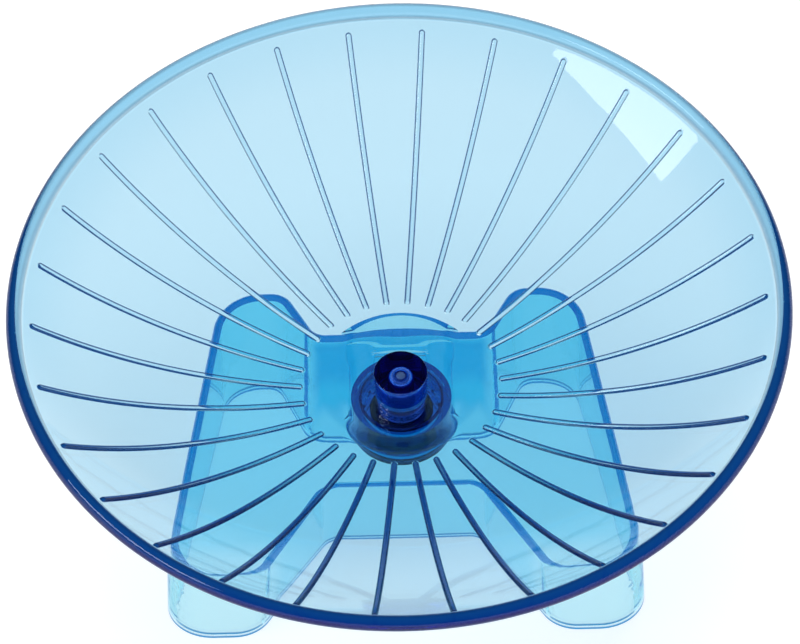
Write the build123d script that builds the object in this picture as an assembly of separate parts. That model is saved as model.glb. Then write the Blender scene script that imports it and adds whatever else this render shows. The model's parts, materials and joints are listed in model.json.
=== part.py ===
from build123d import *
import os
from math import asin, degrees, hypot, radians, sin, sqrt

# Running saucer for a small pet: a clear dish with raised ribs turns on a small ball bearing, on an
# axis that leans forward over a hollow moulded stand. Sizes are in millimetres.
# The origin is on the floor, under the centre of the dish's rim. +Z is up, and -Y is the low front.
# The dish, its hub, the bearing and the top of the stand are drawn in the tilted frame of the axis,
# whose origin is on the axis at the height of the ribs' inner ends. The stand's walls are drawn
# upright.

TILT = 10.0
HUB_HEIGHT = 39.2
RIM_CENTRE_Z = 30.7
HUB_Y = RIM_CENTRE_Z * sin(radians(TILT))

# Dish
DISH_RADIUS = 135.0
DISH_WALL = 2.0
DISH_BOTTOM_Z = -2.1
DISH_EDGE_R = 88.0
RIM_RING_R = 88.2
RIM_BEAD_R = 1.8
CENTRE_PAD_R = 19.3
CENTRE_PAD_DEPTH = 0.5
CENTRE_PAD_SLOPE = 5.0
RIB_COUNT = 30
RIB_PHASE = 7.2
RIB_R = 0.75
RIB_IN = 23.7
RIB_OUT = 84.2

# Post in the middle of the dish
POST_TOP_R = 6.3
POST_FOOT_R = 5.7
POST_TOP_Z = 4.2
POST_FOOT_Z = -9.6
POST_EDGE = 0.3
POST_ROOF = 0.8

# Spindle and what is on it
SPINDLE_R = 3.0
SPINDLE_FOOT_Z = -19.2
SPINDLE_BORE_GAP = 0.01
GROOVE_R = 2.4
CLIP_WALL = 0.7
CLIP_OUT_R = 4.4
CLIP_GAP_HALF = 1.5
WASHER_R = 4.3
LOWER_WASHER_WALL = 0.5

# Ball bearing
BEARING_OUT_R = 7.5
BEARING_WIDTH = 5.0
BEARING_TOP_Z = -11.2
INNER_LAND_R = 4.55
OUTER_LAND_R = 6.05
PITCH_R = 5.3
BALL_R = 1.19
BALL_COUNT = 8
GROOVE_GAP = 0.02
CAGE_HALF_WIDTH = 0.55
CAGE_HALF_HEIGHT = 1.5
CAGE_POCKET_GAP = 0.06
SHIELD_IN_R = 4.7
SHIELD_OUT_R = 6.3
SHIELD_WALL = 0.3
SHIELD_DEPTH = 0.2
RACE_CHAMFER = 0.25

# Stand: boss, plate and tunnel, in the tilted frame
PLATE_Z = -14.0
WALL = 2.0
TOP_EDGE_R = 1.6
BOSS_OUT_R = 11.9
BOSS_IN_R = 10.0
BOSS_TOP_Z = -6.6
BOSS_FOOT_Z = -18.6
BOSS_LIP_R = 9.4
BOSS_LIP_WALL = 1.0
TUNNEL_TOP_Z = -10.2
TUNNEL_OUT_R = 23.0
TUNNEL_IN_TOP_Z = -11.1
TUNNEL_IN_R = 17.0
WINDOW_SILL_Z = -15.0
TUNNEL_OPEN_Y = 21.5
GUSSET_REAR_Y = 16.6
GUSSET_REAR_HALF = 6.3
GUSSET_FRONT_HALF = 7.9
GUSSET_WALL = 0.8
GUSSET_DEPTH = 2.2

# Bearing housing and the castellated ring under it
SEAT_OUT_R = 8.6
HOUSING_OUT_R = 9.98
HOUSING_FLANGE_Z = -14.2
HOUSING_FLANGE_WALL = 1.4
HOUSING_LIP_R = 6.6
HOUSING_LIP_WALL = 1.2
RING_IN_R = 8.62
RING_OUT_R = 9.98
RING_FOOT_Z = -18.4
RING_TOOTH_DEPTH = 1.4
RING_TEETH = 14
RING_SLOT_WIDTH = 1.9

# Stand: plan outline, right half, as corner points and their rounding radii, at the floor and at
# LOFT_TOP above it: rear notch, rear lobe inside and outside, front foot outside and inside, front notch
LOFT_TOP = 40.0
FLOOR_CORNERS = [(21.0, 21.0), (28.8, 40.4), (43.9, 40.4), (57.8, -43.4), (34.9, -43.4), (18.1, -14.3)]
UPPER_CORNERS = [(20.0, 30.7), (27.3, 40.4), (43.0, 40.4), (56.2, -42.4), (32.4, -42.4), (17.4, -19.8)]
CORNER_RADII = [4.5, 6.0, 11.5, 11.0, 9.0, 5.0]

# Size of the block that cuts the stand, and how far a cutting shape runs past what it cuts
CUT_SIZE = 150.0
PAST = 1.0


def on_axis(shape):
    """Places a shape drawn in the tilted frame of the axis."""
    return Pos(0, HUB_Y, HUB_HEIGHT) * Rot(TILT, 0, 0) * shape


def ring(r_in, r_out, z_low, z_high):
    """Flat ring round the axis."""
    middle = (z_low + z_high) / 2
    height = z_high - z_low
    return Pos(0, 0, middle) * (Cylinder(r_out, height) - Cylinder(r_in, height))


def disc(radius, z_low, z_high):
    """Solid disc or rod on the axis."""
    return Pos(0, 0, (z_low + z_high) / 2) * Cylinder(radius, z_high - z_low)


def bowl_point(radius, r):
    """Point of the dish's section at distance r from the axis, on a sphere of this radius."""
    return (r, DISH_BOTTOM_Z + DISH_RADIUS - sqrt(radius**2 - r**2))


def bowl_arc(radius, r_from, r_to):
    """Arc of the dish's section between two distances from the axis."""
    middle = bowl_point(radius, (r_from + r_to) / 2)
    return ThreePointArc(bowl_point(radius, r_from), middle, bowl_point(radius, r_to))


def post_radius(z):
    """Radius of the tapered post at a height."""
    return POST_FOOT_R + (POST_TOP_R - POST_FOOT_R) * (z - POST_FOOT_Z) / (POST_TOP_Z - POST_FOOT_Z)


def hole_radius(radius):
    """Radius at which the post passes through a sphere of the dish."""
    first = post_radius(bowl_point(radius, POST_TOP_R)[1])
    return post_radius(bowl_point(radius, first)[1])


def dish_shell():
    """Spherical bowl of even thickness with a tapered hole, the bead, and the pad under its middle."""
    under = DISH_RADIUS + DISH_WALL
    pad = under + CENTRE_PAD_DEPTH
    top_hole = hole_radius(DISH_RADIUS)
    foot_hole = hole_radius(pad)
    edge_under = DISH_EDGE_R * under / DISH_RADIUS
    section = Curve() + [
        bowl_arc(DISH_RADIUS, top_hole, DISH_EDGE_R),
        Line(bowl_point(DISH_RADIUS, DISH_EDGE_R), bowl_point(under, edge_under)),
        bowl_arc(under, edge_under, CENTRE_PAD_R),
        Line(bowl_point(under, CENTRE_PAD_R), bowl_point(pad, CENTRE_PAD_R - CENTRE_PAD_SLOPE)),
        bowl_arc(pad, CENTRE_PAD_R - CENTRE_PAD_SLOPE, foot_hole),
        Line(bowl_point(pad, foot_hole), bowl_point(DISH_RADIUS, top_hole)),
    ]
    bowl = revolve(Plane.XZ * make_face(section), Axis.Z)
    bead = Pos(0, 0, RIM_CENTRE_Z) * Torus(RIM_RING_R, RIM_BEAD_R)
    return bowl + bead


def rib():
    """Round rod that follows the bowl from one end ball to the other, half of it above the surface."""
    centre_z = DISH_BOTTOM_Z + DISH_RADIUS
    start = degrees(asin(RIB_IN / DISH_RADIUS))
    end = degrees(asin(RIB_OUT / DISH_RADIUS))
    arc = revolve(Plane.XZ * Pos(DISH_RADIUS, 0) * Circle(RIB_R), Axis.Z, end - start)
    ball = Pos(DISH_RADIUS, 0, 0) * Sphere(RIB_R)
    rod = arc + ball + Rot(0, 0, end - start) * ball
    return Pos(0, 0, centre_z) * Rot(0, 90 - start, 0) * Rot(90, 0, 0) * rod


def saucer():
    """Dish with its ring of ribs and the tapered hole for the post."""
    dish = dish_shell()
    one = rib()
    pitch = 360 / RIB_COUNT
    return dish + [Rot(0, 0, 90 + RIB_PHASE + k * pitch) * one for k in range(RIB_COUNT)]


def post_body():
    """Tapered post with a flat top and a small rounded edge."""
    height = POST_TOP_Z - POST_FOOT_Z
    cone = Cone(POST_FOOT_R, POST_TOP_R, height)
    cone = fillet(cone.edges().sort_by(Axis.Z)[-1], POST_EDGE)
    return Pos(0, 0, (POST_TOP_Z + POST_FOOT_Z) / 2) * cone


def spindle_rod(extra=0.0):
    """Rod with a half-round tip that ends under the roof of the post."""
    radius = SPINDLE_R + extra
    shoulder = POST_TOP_Z - POST_ROOF - SPINDLE_R
    return disc(radius, SPINDLE_FOOT_Z, shoulder) + Pos(0, 0, shoulder) * Sphere(radius)


def hub_post():
    """Post, bored for the spindle."""
    return post_body() - spindle_rod(SPINDLE_BORE_GAP)


def clip_top_z():
    """Height of the upper face of the retaining clip."""
    return BEARING_TOP_Z - BEARING_WIDTH - LOWER_WASHER_WALL


def spindle():
    """Spindle with the groove that takes the retaining clip."""
    groove = ring(GROOVE_R, SPINDLE_R + PAST, clip_top_z() - CLIP_WALL, clip_top_z())
    rod = spindle_rod() - groove
    return chamfer(rod.edges().sort_by(Axis.Z)[0], RACE_CHAMFER)


def spacer_washer():
    """Washer between the foot of the post and the inner race."""
    return ring(SPINDLE_R + SPINDLE_BORE_GAP, WASHER_R, BEARING_TOP_Z, POST_FOOT_Z)


def lower_washer():
    """Washer between the inner race and the clip."""
    low = clip_top_z()
    return ring(SPINDLE_R + SPINDLE_BORE_GAP, WASHER_R, low, low + LOWER_WASHER_WALL)


def retaining_clip():
    """Open ring that snaps into the groove of the spindle."""
    low = clip_top_z() - CLIP_WALL
    body = ring(GROOVE_R, CLIP_OUT_R, low, clip_top_z())
    mouth = Pos(0, -CLIP_OUT_R, low) * Box(2 * CLIP_GAP_HALF, 2 * CLIP_OUT_R, 2 * (CLIP_WALL + PAST))
    return body - mouth


def bearing_middle():
    """Height of the middle of the bearing."""
    return BEARING_TOP_Z - BEARING_WIDTH / 2


def raceway():
    """Ring that cuts the ball grooves of both races."""
    return Pos(0, 0, bearing_middle()) * Torus(PITCH_R, BALL_R + GROOVE_GAP)


def inner_race():
    """Inner race on the spindle."""
    low = BEARING_TOP_Z - BEARING_WIDTH
    race = ring(SPINDLE_R + SPINDLE_BORE_GAP, INNER_LAND_R, low, BEARING_TOP_Z)
    return race - raceway()


def outer_race():
    """Outer race, with a step at each face for its shield."""
    low = BEARING_TOP_Z - BEARING_WIDTH
    race = ring(OUTER_LAND_R, BEARING_OUT_R, low, BEARING_TOP_Z)
    circles = race.edges().filter_by(GeomType.CIRCLE)
    race = chamfer(circles.filter_by(lambda e: e.radius > SHIELD_OUT_R), RACE_CHAMFER)
    depth = SHIELD_DEPTH + SHIELD_WALL
    upper_step = disc(SHIELD_OUT_R, BEARING_TOP_Z - depth, BEARING_TOP_Z + PAST)
    lower_step = disc(SHIELD_OUT_R, low - PAST, low + depth)
    return race - raceway() - upper_step - lower_step


def shield(upper):
    """Thin shield in a step of the outer race, clear of the inner race."""
    high = BEARING_TOP_Z - SHIELD_DEPTH
    if not upper:
        high = BEARING_TOP_Z - BEARING_WIDTH + SHIELD_DEPTH + SHIELD_WALL
    return ring(SHIELD_IN_R, SHIELD_OUT_R, high - SHIELD_WALL, high)


def around_pitch(shape, count):
    """Copies of a shape at equal steps round the pitch circle."""
    place = Pos(PITCH_R, 0, bearing_middle())
    return [Rot(0, 0, k * 360 / count) * place * shape for k in range(count)]


def balls():
    """Balls of the bearing as separate solids."""
    return Compound(children=around_pitch(Sphere(BALL_R), BALL_COUNT))


def cage(upper):
    """Half of the ball cage, with a round pocket for each ball."""
    middle = bearing_middle()
    low = middle if upper else middle - CAGE_HALF_HEIGHT
    half = ring(PITCH_R - CAGE_HALF_WIDTH, PITCH_R + CAGE_HALF_WIDTH, low, low + CAGE_HALF_HEIGHT)
    return half - around_pitch(Sphere(BALL_R + CAGE_POCKET_GAP), BALL_COUNT)


def bearing_housing():
    """Cup round the bearing: seat, foot lip under the outer race, and flange in the boss."""
    seat_low = BEARING_TOP_Z - BEARING_WIDTH
    seat = ring(BEARING_OUT_R, SEAT_OUT_R, seat_low - HOUSING_LIP_WALL, BEARING_TOP_Z)
    lip = ring(HOUSING_LIP_R, SEAT_OUT_R, seat_low - HOUSING_LIP_WALL, seat_low)
    flange = ring(BEARING_OUT_R, HOUSING_OUT_R, HOUSING_FLANGE_Z, HOUSING_FLANGE_Z + HOUSING_FLANGE_WALL)
    return seat + lip + flange


def lock_ring():
    """Castellated ring that holds the housing up in the boss."""
    body = ring(RING_IN_R, RING_OUT_R, RING_FOOT_Z, HOUSING_FLANGE_Z)
    slot_z = HOUSING_FLANGE_Z - RING_TOOTH_DEPTH / 2
    slot = Pos(RING_OUT_R, 0, slot_z) * Box(RING_OUT_R, RING_SLOT_WIDTH, RING_TOOTH_DEPTH)
    return body - [Rot(0, 0, (k + 0.5) * 360 / RING_TEETH) * slot for k in range(RING_TEETH)]


def plan_face(corners, radii, z, inset):
    """Plan of the stand at height z, mirrored about its middle and moved in by inset."""
    left = [(-x, y) for x, y in reversed(corners)]
    points = [(x, y + HUB_Y) for x, y in corners + left]
    outline = FilletPolyline(*points, radius=radii + radii[::-1], close=True)
    face = make_face(outline)
    if inset:
        face = offset(face, -inset, kind=Kind.INTERSECTION)
    return Pos(0, 0, z) * face


def stand_block(inset, top_z):
    """Solid inside the walls of the stand, up to a plane square to the axis."""
    floor = plan_face(FLOOR_CORNERS, CORNER_RADII, 0, inset)
    upper = plan_face(UPPER_CORNERS, CORNER_RADII, LOFT_TOP, inset)
    block = loft([floor, upper], ruled=True)
    above = on_axis(Pos(0, 0, top_z + CUT_SIZE / 2) * Box(2 * CUT_SIZE, 2 * CUT_SIZE, CUT_SIZE))
    return block - above


def round_top(block):
    """Rounds the edge between the walls and the sloping top."""
    top = block.faces().sort_by(Axis.Z)[-1]
    return fillet(top.edges(), TOP_EDGE_R)


def tunnel(radius, top_z, low_z, front_y, rear_y):
    """Round-topped bar along the stand, behind the boss."""
    section = Pos(0, top_z - radius) * Circle(radius)
    keep = Pos(0, (low_z + top_z) / 2) * Rectangle(2 * radius, top_z - low_z)
    bar = extrude(Plane.XZ * (section & keep), -(rear_y - front_y))
    return Pos(0, front_y, 0) * bar


def gussets():
    """Two short webs and a cross web behind the boss, under the roof of the tunnel."""
    middle_z = TUNNEL_IN_TOP_Z + (GUSSET_WALL - GUSSET_DEPTH) / 2
    front_y = sqrt(BOSS_OUT_R**2 - GUSSET_FRONT_HALF**2) - WALL
    run = GUSSET_REAR_Y - front_y
    lean = GUSSET_FRONT_HALF - GUSSET_REAR_HALF
    angle = degrees(asin(lean / hypot(run, lean)))
    webs = Pos(0, GUSSET_REAR_Y, middle_z) * Box(2 * GUSSET_REAR_HALF, GUSSET_WALL, GUSSET_DEPTH)
    for side in (-1, 1):
        place = Pos(side * (GUSSET_REAR_HALF + lean / 2), front_y + run / 2, middle_z)
        webs = webs + place * Rot(0, 0, side * angle) * Box(GUSSET_WALL, run, GUSSET_DEPTH)
    return webs


def stand():
    """Hollow stand with its boss, its tunnel, open below, and the window at the tunnel's rear end."""
    outer = stand_block(0, PLATE_Z)
    shell = round_top(outer) - stand_block(WALL, PLATE_Z - WALL)
    rear = UPPER_CORNERS[1][1]
    arch = on_axis(tunnel(TUNNEL_OUT_R, TUNNEL_TOP_Z, PLATE_Z - WALL / 2, 0, rear))
    window = tunnel(TUNNEL_IN_R, TUNNEL_IN_TOP_Z, WINDOW_SILL_Z, 0, rear)
    below = tunnel(TUNNEL_IN_R, TUNNEL_IN_TOP_Z, PLATE_Z - WALL - PAST, 0, TUNNEL_OPEN_Y)
    bore = window + below - disc(BOSS_OUT_R, BOSS_FOOT_Z - WALL, BOSS_TOP_Z)
    solid = shell + (arch & stand_block(0, BOSS_TOP_Z)) + on_axis(disc(BOSS_OUT_R, BOSS_FOOT_Z, BOSS_TOP_Z))
    solid = solid - on_axis(bore)
    solid = solid + on_axis(gussets())
    well = disc(BOSS_IN_R, BOSS_FOOT_Z - PAST, BOSS_TOP_Z - BOSS_LIP_WALL)
    mouth = disc(BOSS_LIP_R, BOSS_FOOT_Z, BOSS_TOP_Z + PAST)
    return solid - on_axis(well + mouth)


def write(name, shape):
    """Writes one node to its own file."""
    export_step(shape, os.path.join("parts", name + ".step"))


def main():
    """Builds every piece and writes it."""
    os.makedirs("parts", exist_ok=True)
    write("stand", stand())
    write("bearing_housing", on_axis(bearing_housing()))
    write("lock_ring", on_axis(lock_ring()))
    write("outer_race", on_axis(outer_race()))
    write("inner_race", on_axis(inner_race()))
    write("balls", on_axis(balls()))
    write("cage_upper", on_axis(cage(True)))
    write("cage_lower", on_axis(cage(False)))
    write("shield_upper", on_axis(shield(True)))
    write("shield_lower", on_axis(shield(False)))
    write("saucer", on_axis(saucer()))
    write("hub_post", on_axis(hub_post()))
    write("spindle", on_axis(spindle()))
    write("spacer_washer", on_axis(spacer_washer()))
    write("lower_washer", on_axis(lower_washer()))
    write("retaining_clip", on_axis(retaining_clip()))


main()
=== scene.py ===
import json
import logging
from dataclasses import dataclass, field
from enum import Enum
from typing import Sequence

import bpy
import numpy as np
from mathutils import Matrix, Vector


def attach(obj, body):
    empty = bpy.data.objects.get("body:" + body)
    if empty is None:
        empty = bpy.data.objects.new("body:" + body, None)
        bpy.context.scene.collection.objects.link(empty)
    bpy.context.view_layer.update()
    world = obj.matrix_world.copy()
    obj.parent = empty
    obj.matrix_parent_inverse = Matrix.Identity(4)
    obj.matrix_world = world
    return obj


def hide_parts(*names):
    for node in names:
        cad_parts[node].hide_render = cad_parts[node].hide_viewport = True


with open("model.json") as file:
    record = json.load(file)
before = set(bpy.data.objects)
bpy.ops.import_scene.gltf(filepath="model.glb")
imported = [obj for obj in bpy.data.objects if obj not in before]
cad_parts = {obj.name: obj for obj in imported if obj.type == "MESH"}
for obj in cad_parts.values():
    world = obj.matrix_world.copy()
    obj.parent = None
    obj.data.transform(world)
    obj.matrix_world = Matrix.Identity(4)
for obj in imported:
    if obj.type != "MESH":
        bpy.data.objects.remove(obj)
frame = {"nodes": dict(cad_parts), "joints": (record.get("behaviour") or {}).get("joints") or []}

# Running saucer for a small pet: clear blue dish, post and bearing on a tilted axis, over a hollow stand.
# Lengths in the classes are millimetres in the tilted frame of the axis, and meshes are in metres.

LOG = logging.getLogger("saucer")
MM = 0.001
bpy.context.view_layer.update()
ON_AXIS = 1e-6
SAME_POINT = 1e-5
JOIN_DIGITS = 7
NORMAL_WEIGHT = 50
FINE_TURN = 96
TURN = 72


@dataclass(frozen=True)
class Axis:
    """The tilted axis that the dish turns on, taken from the frame's first joint."""

    origin: np.ndarray
    direction: np.ndarray

    @classmethod
    def from_frame(cls, joints: Sequence[dict]) -> "Axis":
        """Reads the axis of the dish's own joint.

        Args:
            joints: the frame's joints.

        Returns:
            The axis, in metres.
        """
        spin = joints[0]
        return cls(np.array(spin["pos_m"], float), np.array(spin["axis"], float))

    def place(self, points: np.ndarray) -> np.ndarray:
        """Turns points of the tilted frame, in millimetres, into the object's own frame, in metres.

        Args:
            points: array (..., 3).

        Returns:
            Array of the same shape: origin + x X + y Y' + z Z', where Z' is the axis, X is across and
            Y' is square to both.
        """
        across = np.array([1.0, 0.0, 0.0])
        rear = np.cross(self.direction, across)
        turn = np.stack([across, rear, self.direction])
        return self.origin + (points * MM) @ turn


AXIS = Axis.from_frame(frame["joints"])


class Slot(Enum):
    """Material slots of the record."""

    DISH = "dish_plastic"
    STAND = "stand_plastic"
    POST = "post_plastic"
    HOUSING = "housing_plastic"
    RING = "ring_plastic"
    RACE = "race_steel"
    BALL = "ball_steel"
    CAGE = "cage_steel"
    SHIELD = "shield_steel"
    SPINDLE = "spindle_steel"
    WASHER = "washer_steel"
    CLIP = "clip_steel"


def grid_faces(rows: int, columns: int, closed_rows: bool) -> np.ndarray:
    """Quads of a grid whose columns close on themselves.

    Args:
        rows: number of rows of points.
        columns: number of points in each row.
        closed_rows: whether the last row joins the first.

    Returns:
        Array (n, 4) of point numbers: row i column j, its right neighbour, and the two in the next row.
    """
    i = np.arange(rows if closed_rows else rows - 1)[:, None]
    j = np.arange(columns)[None, :]
    here, after = i * columns, ((i + 1) % rows) * columns
    right = (j + 1) % columns
    return np.stack([here + j, here + right, after + right, after + j], axis=-1).reshape(-1, 4)


def new_mesh(name: str, points: np.ndarray, faces: Sequence[np.ndarray]) -> bpy.types.Object:
    """Puts points and faces into a smooth mesh object at the origin.

    Args:
        name: name of the object.
        points: array (n, 3), in metres.
        faces: arrays of faces, each with one number of corners.

    Returns:
        The linked object, its faces pointing outwards.
    """
    mesh = bpy.data.meshes.new(name)
    mesh.from_pydata(points.tolist(), [], [face for group in faces for face in group.tolist()])
    mesh.validate()
    mesh.shade_smooth()
    obj = bpy.data.objects.new(name, mesh)
    bpy.context.scene.collection.objects.link(obj)
    return obj


def lathe(name: str, profile: np.ndarray, segments: int, sharp: float = 35.0) -> bpy.types.Object:
    """Turns a closed section round the axis.

    Point (i, j) is (r_i cos a_j, r_i sin a_j, z_i). A profile that starts and ends on the axis gets
    a pole at each end, and any other closes on itself as a ring.

    Args:
        name: name of the object.
        profile: array (n, 2) of r and z in millimetres, listed so that the body is on the left.
        segments: points round the axis.
        sharp: angle in degrees above which an edge stays sharp.

    Returns:
        The object.
    """
    poles = profile[0, 0] < ON_AXIS and profile[-1, 0] < ON_AXIS
    rows = profile[1:-1] if poles else profile
    angle = np.linspace(0, 2 * np.pi, segments, endpoint=False)
    r, z = rows[:, :1], rows[:, 1:]
    grid = np.stack([r * np.cos(angle), r * np.sin(angle), z + 0 * angle], axis=-1).reshape(-1, 3)
    faces = [grid_faces(len(rows), segments, not poles)]
    if poles:
        ends = np.array([[0, 0, profile[0, 1]], [0, 0, profile[-1, 1]]])
        first, last, count = len(grid), len(grid) + 1, len(grid)
        j = np.arange(segments)
        right = (j + 1) % segments
        faces.append(np.stack([np.full_like(j, first), right, j], axis=-1))
        low = count - segments
        faces.append(np.stack([np.full_like(j, last), low + j, low + right], axis=-1))
        grid = np.concatenate([grid, ends])
    obj = new_mesh(name, AXIS.place(grid), faces)
    obj.data.set_sharp_from_angle(angle=np.radians(sharp))
    return obj


def rounded(corners: Sequence[tuple[float, float, float]], steps: int = 6) -> np.ndarray:
    """Closed outline with each corner rounded by an arc.

    Each corner p with radius q is cut back by q tan(turn / 2) on both sides, and the arc between is
    the blend (1-t)^2 a + 2 t (1-t) w p + t^2 b over its weight, with w = cos(turn / 2).

    Args:
        corners: r, z and rounding radius of each corner, in millimetres.
        steps: steps along each arc.

    Returns:
        Array (n, 2).
    """
    data = np.array(corners, float)
    p, radius = data[:, :2], data[:, 2]
    back, ahead = np.roll(p, 1, axis=0) - p, np.roll(p, -1, axis=0) - p
    back /= np.linalg.norm(back, axis=1, keepdims=True)
    ahead /= np.linalg.norm(ahead, axis=1, keepdims=True)
    half = 0.5 * (np.pi - np.arccos(np.clip((back * ahead).sum(1), -1, 1)))
    cut = (radius * np.tan(half))[:, None]
    t = np.linspace(0, 1, steps + 1)[None, :, None]
    a, b, middle = (p + back * cut)[:, None], (p + ahead * cut)[:, None], p[:, None]
    w = np.cos(half)[:, None, None]
    weight = (1 - t) ** 2 + 2 * t * (1 - t) * w + t**2
    arc = ((1 - t) ** 2 * a + 2 * t * (1 - t) * w * middle + t**2 * b) / weight
    flat = arc.reshape(-1, 2)
    keep = np.linalg.norm(flat - np.roll(flat, 1, axis=0), axis=1) > SAME_POINT
    return flat[keep]


def band(r_in: float, r_out: float, low: float, high: float, edge: float) -> np.ndarray:
    """Section of a plain ring with rounded edges.

    Args:
        r_in: inner radius.
        r_out: outer radius.
        low: lower height.
        high: upper height.
        edge: radius of the four edges.

    Returns:
        Array (n, 2).
    """
    return rounded([(r_in, low, edge), (r_out, low, edge), (r_out, high, edge), (r_in, high, edge)], 4)


def smooth_copy(node: str, name: str, sharp: float) -> bpy.types.Object:
    """Copy of a solid's mesh with its loose triangles joined and its normals smoothed.

    Args:
        node: name of the solid.
        name: name of the new piece.
        sharp: angle in degrees above which an edge stays sharp.

    Returns:
        The piece, which then stands for the solid.
    """
    source = frame["nodes"][node].data
    count = len(source.vertices)
    points = np.empty(count * 3, np.float32)
    source.vertices.foreach_get("co", points)
    points = points.reshape(-1, 3)
    unique, index = np.unique(np.round(points, JOIN_DIGITS), axis=0, return_inverse=True)
    corners = np.empty(len(source.loops), np.int32)
    source.loops.foreach_get("vertex_index", corners)
    triangles = index.reshape(-1)[corners].reshape(-1, 3)
    a, b, c = triangles.T
    whole = (a != b) & (b != c) & (c != a)
    obj = new_mesh(name, unique, [triangles[whole]])
    obj.data.set_sharp_from_angle(angle=np.radians(sharp))
    weigh = obj.modifiers.new("even_normals", "WEIGHTED_NORMAL")
    weigh.keep_sharp = True
    weigh.weight = NORMAL_WEIGHT
    return obj


class NodeTree:
    """Small helper that adds and joins shader nodes."""

    def __init__(self, tree: bpy.types.NodeTree) -> None:
        """Keeps the tree and empties it.

        Args:
            tree: a material's, world's or group's node tree.
        """
        self.tree = tree
        tree.nodes.clear()

    def add(self, kind: str, inputs: dict | None = None, **settings: object) -> bpy.types.Node:
        """Adds a node.

        Args:
            kind: Blender's name of the node type.
            inputs: values or sockets for its inputs.
            settings: properties of the node.

        Returns:
            The node.
        """
        node = self.tree.nodes.new(kind)
        for key, value in settings.items():
            setattr(node, key, value)
        for key, value in (inputs or {}).items():
            self.feed(node.inputs[key], value)
        return node

    def ramp(self, value: bpy.types.NodeSocket, low: float, high: float,
             falls: bool = False) -> bpy.types.NodeSocket:
        """Smooth step from 0 at low to 1 at high, or from 1 to 0.

        Args:
            value: output that is mapped.
            low: value where the step starts.
            high: value where it ends.
            falls: whether it goes from 1 to 0.

        Returns:
            The output.
        """
        inputs = {"Value": value, "From Min": low, "From Max": high, "To Min": float(falls),
                  "To Max": float(not falls)}
        return self.add("ShaderNodeMapRange", inputs, interpolation_type="SMOOTHSTEP").outputs[0]

    def blend(self, weight: bpy.types.NodeSocket, first: object, second: object) -> bpy.types.NodeSocket:
        """Blend of two colours.

        Args:
            weight: output that is 0 for the first colour and 1 for the second.
            first: a colour or an output.
            second: a colour or an output.

        Returns:
            The output.
        """
        both = [(*part, 1.0) if isinstance(part, tuple) else part for part in (first, second)]
        return self.add("ShaderNodeMix", {0: weight, 6: both[0], 7: both[1]}, data_type="RGBA").outputs[2]

    def feed(self, socket: bpy.types.NodeSocket, value: object) -> None:
        """Sets an input to a constant, or joins another node's output to it.

        Args:
            socket: the input.
            value: a constant or an output socket.
        """
        if isinstance(value, bpy.types.NodeSocket):
            self.tree.links.new(value, socket)
        else:
            socket.default_value = value


def group_tree(name: str, inputs: dict[str, float], outputs: dict[str, str]) -> NodeTree:
    """Starts a shader node group with named sockets.

    Args:
        name: name of the group.
        inputs: name and default of each input, all numbers.
        outputs: name and socket type of each output.

    Returns:
        The helper for its tree.
    """
    tree = bpy.data.node_groups.new(name, "ShaderNodeTree")
    for key, value in inputs.items():
        socket = tree.interface.new_socket(key, in_out="INPUT", socket_type="NodeSocketFloat")
        socket.default_value = value
    for key, kind in outputs.items():
        tree.interface.new_socket(key, in_out="OUTPUT", socket_type=kind)
    return NodeTree(tree)


def moulded_skin() -> bpy.types.NodeTree:
    """Group for moulded plastic: slow waviness and fine specks of the mould.

    Returns:
        The group. Height is noise at two scales, and Haze is noise that lifts the roughness.
    """
    nodes = group_tree("moulded_skin", {"Wave Scale": 60.0, "Speck Scale": 2500.0, "Haze": 0.02},
                       {"Height": "NodeSocketFloat", "Roughness": "NodeSocketFloat"})
    given = nodes.add("NodeGroupInput").outputs
    place = nodes.add("ShaderNodeTexCoord").outputs["Object"]
    wave = nodes.add("ShaderNodeTexNoise", {"Vector": place, "Scale": given["Wave Scale"], "Detail": 2.0})
    speck = nodes.add("ShaderNodeTexNoise", {"Vector": place, "Scale": given["Speck Scale"], "Detail": 1.0})
    speck_share = 0.04
    fine = nodes.add("ShaderNodeMath", {0: speck.outputs["Fac"], 1: speck_share}, operation="MULTIPLY")
    height = nodes.add("ShaderNodeMath", {0: wave.outputs["Fac"], 1: fine.outputs[0]}, operation="ADD")
    haze = nodes.add("ShaderNodeMath", {0: wave.outputs["Fac"], 1: given["Haze"]}, operation="MULTIPLY")
    nodes.add("NodeGroupOutput", {"Height": height.outputs[0], "Roughness": haze.outputs[0]})
    return nodes.tree


def turned_lines() -> bpy.types.NodeTree:
    """Group for turned steel: rings round the axis, from the distance to it and the height along it.

    Returns:
        The group. Lines is a wave of distance plus height, and Tone is slow noise.
    """
    nodes = group_tree("turned_lines", {"Spacing": 9000.0},
                       {"Lines": "NodeSocketFloat", "Tone": "NodeSocketFloat"})
    given = nodes.add("NodeGroupInput").outputs
    place = nodes.add("ShaderNodeTexCoord").outputs["Object"]
    moved = nodes.add("ShaderNodeVectorMath", {0: place, 1: tuple(AXIS.origin)}, operation="SUBTRACT")
    along = nodes.add("ShaderNodeVectorMath", {0: moved.outputs[0], 1: tuple(AXIS.direction)},
                      operation="DOT_PRODUCT")
    length = nodes.add("ShaderNodeVectorMath", {0: moved.outputs[0]}, operation="LENGTH")
    total = nodes.add("ShaderNodeMath", {0: along.outputs["Value"], 1: length.outputs["Value"]},
                      operation="ADD")
    phase = nodes.add("ShaderNodeMath", {0: total.outputs[0], 1: given["Spacing"]}, operation="MULTIPLY")
    wave = nodes.add("ShaderNodeMath", {0: phase.outputs[0]}, operation="SINE")
    noise = nodes.add("ShaderNodeTexNoise", {"Vector": place, "Scale": 400.0, "Detail": 3.0})
    nodes.add("NodeGroupOutput", {"Lines": wave.outputs[0], "Tone": noise.outputs["Fac"]})
    return nodes.tree


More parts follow.
